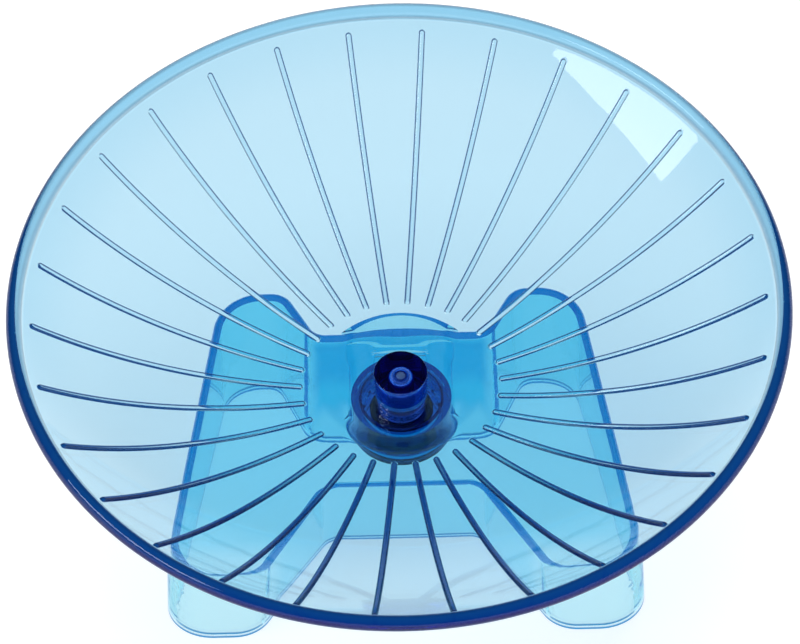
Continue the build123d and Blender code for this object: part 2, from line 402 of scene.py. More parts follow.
@dataclass(frozen=True)
class WallShadeSteps:
    """Start and end of each smooth step in the stand's painted light and shade, in metres of the object's
    own frame.
    """

    boss_r: tuple[float, float] = (0.0118, 0.0124)
    foot_z: tuple[float, float] = (0.0004, 0.0009)
    front_y: tuple[float, float] = (-0.034, -0.026)
    rear_y: tuple[float, float] = (0.0275, 0.029)
    rear_x: tuple[float, float] = (0.019, 0.0225)
    rear_z: tuple[float, float] = (0.0255, 0.028)


WALL_SHADE_STEPS = WallShadeSteps()


def wall_shade() -> bpy.types.NodeTree:
    """Group for the stand's walls: where they get painted light, a lighter painted shade and a darker
    painted shade.

    Returns:
        The group. Its first output, painted light, rises towards the feet; its second, a lighter painted
        shade, is 1 in the wall behind the boss; and its third, a darker painted shade, is 1 along the foot
        of every wall and in the boss round the axis.
    """
    outputs = dict.fromkeys(("Front Light", "Rear Shade", "Line"), "NodeSocketFloat")
    nodes = group_tree("wall_shade", {}, outputs)
    place = nodes.add("ShaderNodeTexCoord").outputs["Object"]
    split = nodes.add("ShaderNodeSeparateXYZ", {0: place}).outputs
    aside = nodes.add("ShaderNodeMath", {0: split["X"]}, operation="ABSOLUTE").outputs[0]
    moved = nodes.add("ShaderNodeVectorMath", {0: place, 1: tuple(AXIS.origin)}, operation="SUBTRACT")
    round_it = nodes.add("ShaderNodeVectorMath", {0: moved.outputs[0], 1: tuple(AXIS.direction)},
                         operation="CROSS_PRODUCT")
    distance = nodes.add("ShaderNodeVectorMath", {0: round_it.outputs[0]}, operation="LENGTH")
    # painted shade: the boss and the foot of every wall, where it meets the floor, get the darker tint
    boss = nodes.ramp(distance.outputs["Value"], *WALL_SHADE_STEPS.boss_r, True)
    foot = nodes.ramp(split["Z"], *WALL_SHADE_STEPS.foot_z, True)
    deep_shade = nodes.add("ShaderNodeMath", {0: boss, 1: foot}, operation="MAXIMUM").outputs[0]
    # lighter painted shade in the wall behind the boss
    behind = nodes.ramp(split["Y"], *WALL_SHADE_STEPS.rear_y)
    beside = nodes.ramp(aside, *WALL_SHADE_STEPS.rear_x, True)
    rear = nodes.add("ShaderNodeMath", {0: behind, 1: beside}, operation="MULTIPLY").outputs[0]
    below = nodes.ramp(split["Z"], *WALL_SHADE_STEPS.rear_z, True)
    rear = nodes.add("ShaderNodeMath", {0: rear, 1: below}, operation="MULTIPLY").outputs[0]
    # painted light towards the front feet
    front_light = nodes.ramp(split["Y"], *WALL_SHADE_STEPS.front_y, True)
    nodes.add("NodeGroupOutput", {"Front Light": front_light, "Rear Shade": rear, "Line": deep_shade})
    return nodes.tree


MOULDED_SKIN = moulded_skin()
TURNED_LINES = turned_lines()
WALL_SHADE = wall_shade()
# point attributes that weigh the painted shade: rib for the darker tint at flat angles, rim for the lighter
# middle tint
RIB_SHADE_MASK = "rib"
RIM_SHADE_MASK = "rim"


class Zone(Enum):
    """Parts of a piece where its plastic gets painted shade or painted light."""

    NONE = "none"
    RIBS = "ribs"
    WALLS = "walls"


@dataclass(frozen=True)
class ClearPlastic:
    """Clear coloured plastic that grows deeper in colour with the way that light goes through it.

    A ray with more glossy bounces than the set limit ends in a painted glow, an emitted colour in place
    of the black of the renderer's limit. The zone says where the painted shade, lighter painted shade and
    painted light tints lie.
    """

    name: str
    tint: tuple[float, float, float]
    depth_colour: tuple[float, float, float]
    density: float
    # colour of the painted glow that the surface emits past the bounce limit
    trapped_light_glow: tuple[float, float, float]
    zone: Zone = Zone.NONE
    # darker painted shade tint; the middle tint is a lighter painted shade, and the pale tint is painted
    # light and sheen
    painted_shade_tint: tuple[float, float, float] = (0.1, 0.4, 0.7)
    middle: tuple[float, float, float] = (0.3, 0.7, 0.9)
    painted_light_tint: tuple[float, float, float] = (0.95, 0.99, 1.0)
    glow_after_bounces: float = 3.5
    roughness: float = 0.01
    ripple: float = 0.02
    ior: float = 1.49
    ripple_height: float = 0.0002
    # angles of view where the painted sheen and the painted shade set in
    sheen_facing: tuple[float, float] = (0.30, 0.66)
    shade_facing: tuple[float, float] = (0.10, 0.34)

    def colour(self, nodes: NodeTree) -> bpy.types.NodeSocket | tuple[float, ...]:
        """Colour of the plastic's faces, with painted light and shade in it.

        Ribs and rim bead take the darker painted shade where they are seen at a flat angle, and the dish
        takes a painted sheen there; near the rim, on the ribs and on the bead the tint leans to the lighter
        painted
        shade. Walls follow their place: painted light in front, lighter painted shade behind the boss, and
        darker painted shade at the foot and in the boss.

        Args:
            nodes: the material's tree.

        Returns:
            A constant, or the output that gives it.
        """
        if self.zone is Zone.NONE:
            return (*self.tint, 1.0)
        if self.zone is Zone.RIBS:
            rib = nodes.add("ShaderNodeAttribute", attribute_name=RIB_SHADE_MASK).outputs["Fac"]
            rim = nodes.add("ShaderNodeAttribute", attribute_name=RIM_SHADE_MASK).outputs["Fac"]
            # painted sheen and painted shade by angle of view: pale dish and dark ribs and bead at flat
            # angles
            flat = nodes.add("ShaderNodeLayerWeight", {"Blend": 0.5}).outputs["Facing"]
            sheen_weight = nodes.ramp(flat, *self.sheen_facing)
            shade_weight = nodes.ramp(flat, *self.shade_facing)
            either = nodes.add("ShaderNodeMath", {0: rib, 1: shade_weight}, operation="MULTIPLY")
            skin = nodes.blend(sheen_weight, nodes.blend(rim, self.tint, self.middle), self.painted_light_tint)
            return nodes.blend(either.outputs[0], skin, self.painted_shade_tint)
        # painted light in front, lighter painted shade behind the boss, darker painted shade at the walls'
        # foot and in the boss
        walls = nodes.add("ShaderNodeGroup", {}, node_tree=WALL_SHADE).outputs
        front_light = nodes.blend(walls["Front Light"], self.tint, self.painted_light_tint)
        return nodes.blend(walls["Line"], nodes.blend(walls["Rear Shade"], front_light, self.middle), self.painted_shade_tint)

    def build(self) -> bpy.types.Material:
        """Builds the material: clear shader, absorbing inside, and a coloured shadow.

        Returns:
            The material.
        """
        material = bpy.data.materials.new(self.name)
        material.use_nodes = True
        nodes = NodeTree(material.node_tree)
        skin = nodes.add("ShaderNodeGroup", {}, node_tree=MOULDED_SKIN)
        base = nodes.add("ShaderNodeMath", {0: skin.outputs["Roughness"], 1: self.roughness},
                         operation="ADD")
        bump = nodes.add("ShaderNodeBump", {"Height": skin.outputs["Height"], "Strength": self.ripple,
                                            "Distance": self.ripple_height})
        clear = nodes.add("ShaderNodeBsdfPrincipled", {
            "Base Color": self.colour(nodes), "Roughness": base.outputs[0], "IOR": self.ior,
            "Transmission Weight": 1.0, "Metallic": 0.0, "Normal": bump.outputs["Normal"]})
        shade = nodes.add("ShaderNodeBsdfTransparent", {"Color": (*self.tint, 1.0)})
        path = nodes.add("ShaderNodeLightPath")
        surface = nodes.add("ShaderNodeMixShader", {0: path.outputs["Is Shadow Ray"], 1: clear.outputs[0],
                                                    2: shade.outputs[0]})
        # painted glow: past the bounce limit the surface emits a set colour in place of black
        caught = nodes.add("ShaderNodeMath", {0: path.outputs["Glossy Depth"], 1: self.glow_after_bounces},
                           operation="GREATER_THAN")
        glow = nodes.add("ShaderNodeEmission", {"Color": (*self.trapped_light_glow, 1.0)})
        surface = nodes.add("ShaderNodeMixShader", {0: caught.outputs[0], 1: surface.outputs[0],
                                                    2: glow.outputs[0]})
        inside = nodes.add("ShaderNodeVolumeAbsorption", {"Color": (*self.depth_colour, 1.0),
                                                          "Density": self.density})
        nodes.add("ShaderNodeOutputMaterial", {"Surface": surface.outputs[0], "Volume": inside.outputs[0]})
        return material


@dataclass(frozen=True)
class Steel:
    """Turned or pressed steel with fine rings and a slow change of tone."""

    name: str
    colour: tuple[float, float, float]
    roughness: float
    lines: float = 0.05
    spacing: float = 9000.0
    dark_share: float = 0.8
    rough_spread: float = 0.12
    line_height: float = 0.00005

    def build(self) -> bpy.types.Material:
        """Builds the material.

        Returns:
            The material.
        """
        material = bpy.data.materials.new(self.name)
        material.use_nodes = True
        nodes = NodeTree(material.node_tree)
        marks = nodes.add("ShaderNodeGroup", {"Spacing": self.spacing}, node_tree=TURNED_LINES)
        darker = tuple(self.dark_share * part for part in self.colour)
        tone = nodes.add("ShaderNodeMix", {0: marks.outputs["Tone"], 6: (*darker, 1.0),
                                           7: (*self.colour, 1.0)}, data_type="RGBA")
        rough = nodes.add("ShaderNodeMath", {0: marks.outputs["Tone"], 1: self.rough_spread,
                                             2: self.roughness}, operation="MULTIPLY_ADD")
        bump = nodes.add("ShaderNodeBump", {"Height": marks.outputs["Lines"], "Strength": self.lines,
                                            "Distance": self.line_height})
        metal = nodes.add("ShaderNodeBsdfPrincipled", {
            "Base Color": tone.outputs[2], "Roughness": rough.outputs[0], "Metallic": 1.0,
            "Normal": bump.outputs["Normal"]})
        nodes.add("ShaderNodeOutputMaterial", {"Surface": metal.outputs[0]})
        return material


# Each plastic's fifth value is its painted glow colour; the dish and the stand then take their zone, a
# darker and a lighter painted shade tint.
DISH_PLASTIC = ClearPlastic("clear_blue_dish", (0.64, 0.87, 0.99), (0.05, 0.69, 0.958), 70.0,
                            (0.02, 0.11, 0.28), Zone.RIBS, (0.0004, 0.010, 0.09), (0.30, 0.66, 0.88))
STAND_PLASTIC = ClearPlastic("clear_blue_stand", (0.62, 0.92, 0.99), (0.0375, 0.84, 0.94), 150.0,
                             (0.04, 0.34, 0.70), Zone.WALLS, (0.0004, 0.10, 0.36), (0.015, 0.58, 0.86))
POST_PLASTIC = ClearPlastic("deep_blue_post", (0.55, 0.72, 0.95), (0.02, 0.30, 0.90), 260.0,
                            (0.03, 0.02, 0.20))
# painted shade: the housing's dark tint stands for the deeper blue of the layers it is seen through
HOUSING_PLASTIC = ClearPlastic("clear_blue_housing", (0.10, 0.34, 0.55), (0.03, 0.45, 0.88), 300.0,
                               (0.002, 0.05, 0.25))
RING_PLASTIC = ClearPlastic("clear_blue_ring", (0.62, 0.85, 0.97), (0.04, 0.55, 0.92), 300.0,
                            (0.01, 0.12, 0.40))
# painted shade: the races are near black, for the dark surroundings seen in their polish through the post
RACE_STEEL = Steel("dark_race_steel", (0.10, 0.10, 0.11), 0.10)
BALL_STEEL = Steel("ball_steel", (0.80, 0.81, 0.83), 0.04, 0.0)
CAGE_STEEL = Steel("cage_steel", (0.60, 0.60, 0.61), 0.25)
SHIELD_STEEL = Steel("shield_steel", (0.09, 0.09, 0.10), 0.16)
SPINDLE_STEEL = Steel("spindle_steel", (0.62, 0.64, 0.67), 0.12)
WASHER_STEEL = Steel("washer_steel", (0.40, 0.41, 0.43), 0.22)
CLIP_STEEL = Steel("clip_steel", (0.28, 0.28, 0.30), 0.30)


def dress(obj: bpy.types.Object, material: bpy.types.Material, body: str, slot: Slot,
          *nodes: str) -> bpy.types.Object:
    """Gives a new piece its finish and its body, and hides the solids that it stands for.

    Args:
        obj: the piece.
        material: its finish.
        body: body that it moves with.
        slot: material slot of the record; not used.
        nodes: solids that it stands for.

    Returns:
        The piece.
    """
    obj.data.materials.clear()
    obj.data.materials.append(material)
    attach(obj, body)
    if nodes:
        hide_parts(*nodes)
    LOG.info("%s: %d faces on %s", obj.name, len(obj.data.polygons), body)
    return obj


def dress_solid(node: str, material: bpy.types.Material) -> None:
    """Gives a solid that stays its finish.

    Args:
        node: name of the solid.
        material: its finish.
    """
    obj = frame["nodes"][node]
    obj.data.materials.clear()
    obj.data.materials.append(material)
    LOG.info("%s: solid kept", node)


def smoothstep(x: np.ndarray, low: float, high: float) -> np.ndarray:
    """Weight 3 t^2 - 2 t^3 that rises from 0 at low to 1 at high.

    Args:
        x: values.
        low: value where the step starts.
        high: value where it ends.

    Returns:
        Array of the same shape.
    """
    t = np.clip((x - low) / (high - low), 0, 1)
    return t * t * (3 - 2 * t)


@dataclass
class Saucer:
    """The running dish with its ribs and rim bead.

    The rim, rib and bead weights give the middle tint, a lighter painted shade, and the bead's steep weight
    gives the darker painted shade tint. rib_lines are the distances of the mesh's columns from a rib's
    middle line.
    """

    radius: float = 135.0
    bottom_z: float = -2.1
    wall: float = 2.0
    hole_r: float = 6.16
    bead_centre_r: float = 88.2
    bead_r: float = 1.8
    pad_r: float = 19.3
    pad_depth: float = 0.5
    pad_slope: float = 5.0
    ribs: int = 30
    rib_phase: float = 7.2
    rib_r: float = 0.75
    rib_in: float = 23.7
    rib_out: float = 84.2
    between: int = 3
    # weights of the lighter painted shade near the rim, on the ribs and on the bead, then of the darker
    # painted shade on the bead
    rim_shade_weight: float = 0.45
    rim_shade_r: float = 72.0
    rib_shade_weight: float = 0.5
    bead_shade_weight: float = 0.75
    bead_steep_shade: float = 0.55
    rib_lines: tuple[float, ...] = (-1.1, -0.78, -0.73, -0.64, -0.48, -0.25, 0.0, 0.25, 0.48, 0.64, 0.73,
                                    0.78, 1.1)
    far_line: float = 9.0
    gather: tuple[float, float] = (11.0, 19.0)
    spread_gap: float = 1.0
    spread_r: float = 87.0
    outline_r: float = 87.5
    rim_turn: float = 168.0
    sharp: float = 50.0

    def sphere_z(self, r: np.ndarray, depth: np.ndarray | float) -> np.ndarray:
        """Height of the bowl, c - sqrt((R + depth)^2 - r^2), where c is the height of the sphere's centre.

        Args:
            r: distances from the axis.
            depth: depth below the inner surface.

        Returns:
            Array of the shape of r.
        """
        return self.bottom_z + self.radius - np.sqrt((self.radius + depth) ** 2 - r**2)

    def inner_rows(self) -> np.ndarray:
        """Distances from the axis of the rows on the inner surface, closer together at the rib ends.

        Returns:
            Array (n,), rising.
        """
        first, last = self.rib_in, self.rib_out
        join = self.bead_centre_r - self.bead_r * np.sqrt(1 - (self.bead_centre_r / self.radius) ** 2)
        before, within, past, clear = 1.6, 0.5, 1.0, 0.35
        parts = [np.linspace(self.hole_r, first - before, 13, endpoint=False),
                 np.linspace(first - before, first + within, 12, endpoint=False),
                 np.linspace(first + within, last - within, 40, endpoint=False),
                 np.linspace(last - within, last + past, 10, endpoint=False),
                 np.linspace(last + past, join - clear, 4)]
        return np.concatenate(parts)

    def rim_profile(self) -> np.ndarray:
        """Section of the rim: a half circle above the bowl's surface, then a quarter circle down to its
        underside, both about the bead's centre.

        Returns:
            Array (n, 2) of r and z.
        """
        slope = np.arcsin(self.bead_centre_r / self.radius)
        out = np.array([np.cos(slope), np.sin(slope)])
        up = np.array([-np.sin(slope), np.cos(slope)])
        centre = np.array([self.bead_centre_r, self.sphere_z(self.bead_centre_r, 0.0)])
        turn = np.linspace(np.radians(self.rim_turn), 0, 15)[:, None]
        above = centre + self.bead_r * (np.cos(turn) * out + np.sin(turn) * up)
        turn = np.linspace(0, np.pi / 2, 9)[1:, None]
        below = centre + self.bead_r * (np.cos(turn) * out - np.sin(turn) * up)
        return np.concatenate([above, below])

    def under_rows(self) -> np.ndarray:
        """Section of the underside, from the rim in to the hole, with the thicker pad in its middle.

        Returns:
            Array (n, 2) of r and z.
        """
        last = self.bead_centre_r * (self.radius + self.wall) / self.radius
        rim_gap, row_gap = 1.5, 0.6
        r = np.concatenate([np.linspace(last - rim_gap, self.pad_r + row_gap, 34),
                            np.linspace(self.pad_r, self.pad_r - self.pad_slope, 13),
                            np.linspace(self.pad_r - self.pad_slope - row_gap, self.hole_r, 10)])
        thick = self.wall + self.pad_depth * smoothstep(self.pad_r - r, 0.0, self.pad_slope)
        return np.stack([r, self.sphere_z(r, thick)], axis=-1)

    def angles(self, r: np.ndarray) -> np.ndarray:
        """Angle of each column at each row, so that a set of columns runs along every rib.

        Beside a rib a column keeps its distance d from the rib's middle, at the angle d / r. Away
        from the ribs' span the columns turn smoothly to even angles.

        Args:
            r: distance of each row from the axis.

        Returns:
            Array (rows, columns), in radians.
        """
        pitch = 2 * np.pi / self.ribs
        lines = np.array(self.rib_lines)
        per = len(lines) + self.between
        beside = lines[None, :] / r[:, None]
        fill = np.linspace(0, 1, self.between + 2)[1:-1]
        gap = beside[:, -1:] + (pitch + beside[:, :1] - beside[:, -1:]) * fill
        close = np.concatenate([beside, gap], axis=1)
        even = (np.arange(per) - len(lines) // 2)[None, :] * pitch / per + 0 * close
        inward = smoothstep(r, *self.gather)
        outward = 1 - smoothstep(r, self.rib_out + self.spread_gap, self.spread_r)
        weight = (inward * outward)[:, None]
        sector = weight * close + (1 - weight) * even
        start = np.radians(90 + self.rib_phase) + pitch * np.arange(self.ribs)
        return (start[None, :, None] + sector[:, None, :]).reshape(len(r), -1)

    def rib_height(self, r: np.ndarray) -> np.ndarray:
        """Height of the ribs above the bowl at each grid point: sqrt(q^2 - d^2 - s^2), where d is the
        distance from the rib's middle line and s the distance past its end.

        Args:
            r: distance of each inner row from the axis.

        Returns:
            Array (rows, columns).
        """
        d = np.concatenate([np.array(self.rib_lines), np.full(self.between, self.far_line)])
        run = self.radius * np.arcsin(r / self.radius)
        ends = self.radius * np.arcsin(np.array([self.rib_in, self.rib_out]) / self.radius)
        s = np.maximum(0, np.maximum(ends[0] - run, run - ends[1]))
        square = self.rib_r**2 - d[None, :] ** 2 - s[:, None] ** 2
        return np.tile(np.sqrt(np.maximum(0, square)), (1, self.ribs))

    def dish(self) -> bpy.types.Object:
        """Builds the dish as one closed surface: inner rows with ribs, rim, underside.

        Returns:
            The piece.
        """
        inner_r = self.inner_rows()
        outline = np.concatenate([self.rim_profile(), self.under_rows()])
        phi = self.angles(np.concatenate([inner_r, np.maximum(outline[:, 0], self.outline_r)]))
        top, rest = phi[:len(inner_r)], phi[len(inner_r):]
        height = self.rib_height(inner_r)
        sine = inner_r[:, None] / self.radius
        ball = self.radius - height
        r = ball * sine
        z = self.bottom_z + self.radius - ball * np.sqrt(1 - sine**2)
        inner = np.stack([r * np.cos(top), r * np.sin(top), z], axis=-1)
        r = outline[:, :1]
        outer = np.stack([r * np.cos(rest), r * np.sin(rest), outline[:, 1:] + 0 * rest], axis=-1)
        grid = np.concatenate([inner, outer])
        faces = grid_faces(grid.shape[0], grid.shape[1], True)[:, ::-1]
        obj = new_mesh("saucer_dish", AXIS.place(grid.reshape(-1, 3)), [faces])
        rib, rim = np.zeros((2, *grid.shape[:2]), np.float32)
        # painted shade: the middle tint's weight grows towards the rim and lies on ribs and bead, and the
        # bead takes part of the dark tint
        near = smoothstep(inner_r, self.rim_shade_r, self.bead_centre_r)[:, None]
        rib[:len(inner_r)] = height > 0
        rim[:len(inner_r)] = np.maximum(self.rim_shade_weight * near, self.rib_shade_weight * (height > 0))
        bead = slice(len(inner_r), len(inner_r) + len(self.rim_profile()))
        rib[bead], rim[bead] = self.bead_steep_shade, self.bead_shade_weight
        for key, mask in ((RIB_SHADE_MASK, rib), (RIM_SHADE_MASK, rim)):
            obj.data.attributes.new(key, "FLOAT", "POINT").data.foreach_set("value", mask.reshape(-1))
        obj.data.set_sharp_from_angle(angle=np.radians(self.sharp))
        return obj

    def build(self) -> None:
        """Builds and dresses the dish."""
        dress(self.dish(), DISH_PLASTIC.build(), "spinner", Slot.DISH, "saucer")


@dataclass
class Hub:
    """Post of the dish with its blind bore, and the spindle inside."""

    top_z: float = 4.2
    foot_z: float = -9.6
    top_r: float = 6.3
    foot_r: float = 5.7
    edge: float = 0.3
    bore_r: float = 3.01
    roof: float = 0.8
    spindle_r: float = 3.0
    spindle_foot: float = -19.2
    groove_r: float = 2.4
    groove_top: float = -16.7
    groove_wall: float = 0.7
    foot_edge: float = 0.15
    chamfer: float = 0.25

    def dome(self, radius: float) -> np.ndarray:
        """Quarter circle from the side of a rod to the tip on the axis.

        Args:
            radius: radius of the rod.

        Returns:
            Array (n, 2).
        """
        centre = self.top_z - self.roof - self.spindle_r
        turn = np.linspace(0, np.pi / 2, 15)
        return np.stack([radius * np.cos(turn), centre + radius * np.sin(turn)], axis=-1)

    def post(self) -> bpy.types.Object:
        """Builds the post: flat top, rounded edge, tapered side, foot, bore and domed bore end.

        Returns:
            The piece.
        """
        turn = np.linspace(0, np.pi / 2, 7)[:, None]
        corner = np.array([self.top_r - self.edge, self.top_z - self.edge])
        edge = corner + self.edge * np.concatenate([np.cos(turn), np.sin(turn)], axis=1)
        foot = [[self.bore_r, self.foot_z], [self.foot_r - self.foot_edge, self.foot_z],
                [self.foot_r, self.foot_z + self.foot_edge]]
        side = np.linspace(foot[2], edge[0], 12, endpoint=False)[1:]
        top = [[r, self.top_z] for r in (4.0, 2.0, 0.0)]
        profile = np.concatenate([self.dome(self.bore_r)[::-1], foot, side, edge, top])
        profile[0, 0] = 0.0
        return lathe("hub_post_clear", profile, FINE_TURN)

    def spindle(self) -> bpy.types.Object:
        """Builds the spindle: foot with a small chamfer, groove and domed tip.

        Returns:
            The piece.
        """
        r, low, high = self.spindle_r, self.groove_top - self.groove_wall, self.groove_top
        foot = [[0.0, self.spindle_foot], [r - self.chamfer, self.spindle_foot],
                [r, self.spindle_foot + self.chamfer], [r, low], [self.groove_r, low],
                [self.groove_r, high], [r, high]]
        dome = self.dome(r)
        dome[-1, 0] = 0.0
        return lathe("spindle_turned", np.concatenate([foot, dome]), TURN)

    def build(self) -> None:
        """Builds and dresses the post and the spindle."""
        dress(self.post(), POST_PLASTIC.build(), "spinner", Slot.POST, "hub_post")
        dress(self.spindle(), SPINDLE_STEEL.build(), "spinner", Slot.SPINDLE, "spindle")


@dataclass
class Bearing:
    """Ball bearing with its shields and cage, and the washers and clip on the spindle."""

    top_z: float = -11.2
    width: float = 5.0
    bore_r: float = 3.01
    out_r: float = 7.5
    inner_land: float = 4.55
    outer_land: float = 6.05
    pitch_r: float = 5.3
    ball_r: float = 1.19
    balls: int = 8
    shield_in: float = 4.7
    shield_out: float = 6.3
    shield_depth: float = 0.2
    shield_wall: float = 0.3
    chamfer: float = 0.25
    washer_r: float = 4.3
    lower_wall: float = 0.5
    post_foot: float = -9.6
    ball_gap: float = 0.02
    bore_edge: float = 0.15
    land_edge: float = 0.05
    shield_gap: float = 0.005
    step_r: tuple[float, ...] = (5.1, 5.25, 5.9, 6.05)
    step_depth: float = 0.1
    washer_edge: float = 0.08

    def raceway(self, side: int) -> np.ndarray:
        """Arc of the ball groove on one race.

        Args:
            side: -1 for the inner race and +1 for the outer one.

        Returns:
            Array (n, 2), rising.
        """
        land = self.outer_land if side > 0 else self.inner_land
        ball = self.ball_r + self.ball_gap
        middle = self.top_z - self.width / 2
        half = np.arccos(abs(land - self.pitch_r) / ball)
        turn = np.linspace(-half, half, 11)
        return np.stack([self.pitch_r + side * ball * np.cos(turn), middle + ball * np.sin(turn)], axis=-1)

    def inner_race(self) -> bpy.types.Object:
        """Builds the inner race with its groove.

        Returns:
            The piece.
        """
        low, high, c, e = self.top_z - self.width, self.top_z, self.bore_edge, self.land_edge
        inside = [[self.bore_r, high - c], [self.bore_r, low + c], [self.bore_r + c, low],
                  [self.inner_land - e, low], [self.inner_land, low + e]]
        outside = [[self.inner_land, high - e], [self.inner_land - e, high], [self.bore_r + c, high]]
        return lathe("inner_race_turned", np.concatenate([inside, self.raceway(-1), outside]), TURN, 25)

    def outer_race(self) -> bpy.types.Object:
        """Builds the outer race with its groove, chamfers and shield steps.

        Returns:
            The piece.
        """
        low, high, c = self.top_z - self.width, self.top_z, self.chamfer
        depth = self.shield_depth + self.shield_wall
        outside = [[self.shield_out, low], [self.out_r - c, low], [self.out_r, low + c],
                   [self.out_r, high - c], [self.out_r - c, high], [self.shield_out, high],
                   [self.shield_out, high - depth], [self.outer_land, high - depth]]
        inside = [[self.outer_land, low + depth], [self.shield_out, low + depth]]
        profile = np.concatenate([outside, self.raceway(1)[::-1], inside])
        return lathe("outer_race_turned", profile, FINE_TURN, 25)

    def shield(self, upper: bool) -> bpy.types.Object:
        """Builds a pressed shield with a shallow step round its middle.

        Args:
            upper: whether it is the upper one.

        Returns:
            The piece.
        """
        high = self.top_z - self.shield_depth if upper else self.top_z - self.width + self.shield_depth
        face = -1 if upper else 1
        r = np.array([self.shield_in, *self.step_r, self.shield_out - self.shield_gap])
        drop = self.step_depth * np.array([1, 1, 0, 0, 1, 1])
        outer = np.stack([r, high + face * drop], axis=-1)
        inner = np.stack([r[::-1], high + face * self.shield_wall + 0 * r], axis=-1)
        profile = np.concatenate([outer, inner])
        name = "shield_upper_pressed" if upper else "shield_lower_pressed"
        return lathe(name, profile[::-1] if upper else profile, TURN, 20)

    def ball_ring(self) -> bpy.types.Object:
        """Builds the balls: points q (sin v cos u, sin v sin u, cos v) about places on the pitch circle.

        Returns:
            The piece.
        """
        rows, columns = 13, 20
        v = np.linspace(0, np.pi, rows + 2)[1:-1, None]
        u = np.linspace(0, 2 * np.pi, columns, endpoint=False)[None, :]
        skin = np.stack([np.sin(v) * np.cos(u), np.sin(v) * np.sin(u), np.cos(v) + 0 * u], axis=-1)
        poles = np.array([[0, 0, 1.0], [0, 0, -1.0]])
        unit = np.concatenate([skin.reshape(-1, 3), poles]) * self.ball_r
        turn = 2 * np.pi * np.arange(self.balls) / self.balls
        middle = np.full(self.balls, self.top_z - self.width / 2)
        places = np.stack([self.pitch_r * np.cos(turn), self.pitch_r * np.sin(turn), middle], axis=-1)
        points = (places[:, None] + unit[None]).reshape(-1, 3)
        j = np.arange(columns)
        right = (j + 1) % columns
        quads = grid_faces(rows, columns, False)[:, ::-1]
        first, last, low = rows * columns, rows * columns + 1, (rows - 1) * columns
        caps = np.concatenate([np.stack([np.full_like(j, first), j, right], axis=-1),
                               np.stack([np.full_like(j, last), low + right, low + j], axis=-1)])
        shift = (np.arange(self.balls) * len(unit))[:, None, None]
        return new_mesh("ball_ring", AXIS.place(points),
                        [(quads[None] + shift).reshape(-1, 4), (caps[None] + shift).reshape(-1, 3)])

    def washer(self, name: str, low: float, high: float) -> bpy.types.Object:
        """Builds a flat washer with small rounded edges.

        Args:
            name: name of the piece.
            low: lower height.
            high: upper height.

        Returns:
            The piece.
        """
        return lathe(name, band(self.bore_r, self.washer_r, low, high, self.washer_edge), TURN, 60)

    def build(self) -> None:
        """Builds and dresses the bearing."""
        race, shield, washer = RACE_STEEL.build(), SHIELD_STEEL.build(), WASHER_STEEL.build()
        cage = CAGE_STEEL.build()
        low = self.top_z - self.width
        dress(self.inner_race(), race, "spinner", Slot.RACE, "inner_race")
        dress(self.outer_race(), race, "base", Slot.RACE, "outer_race")
        dress(self.shield(True), shield, "base", Slot.SHIELD, "shield_upper")
        dress(self.shield(False), shield, "base", Slot.SHIELD, "shield_lower")
        dress(self.ball_ring(), BALL_STEEL.build(), "ball_set", Slot.BALL, "balls")
        dress(self.washer("spacer_washer_flat", self.top_z, self.post_foot), washer, "spinner",
              Slot.WASHER, "spacer_washer")
        dress(self.washer("lower_washer_flat", low - self.lower_wall, low), washer, "spinner",
              Slot.WASHER, "lower_washer")
        dress_solid("cage_upper", cage)
        dress_solid("cage_lower", cage)
        dress_solid("retaining_clip", CLIP_STEEL.build())


@dataclass
class Stand:
    """Hollow stand with its boss, and the housing and castellated ring in the boss."""

    sharp: float = 32.0

    def build(self) -> None:
        """Builds and dresses the stand, the housing and the ring."""
        shell = smooth_copy("stand", "stand_shell", self.sharp)
        dress(shell, STAND_PLASTIC.build(), "base", Slot.STAND, "stand")
        housing = smooth_copy("bearing_housing", "housing_cup", self.sharp)
        dress(housing, HOUSING_PLASTIC.build(), "base", Slot.HOUSING, "bearing_housing")
        ring = smooth_copy("lock_ring", "castellated_ring", self.sharp)
        dress(ring, RING_PLASTIC.build(), "base", Slot.RING, "lock_ring")


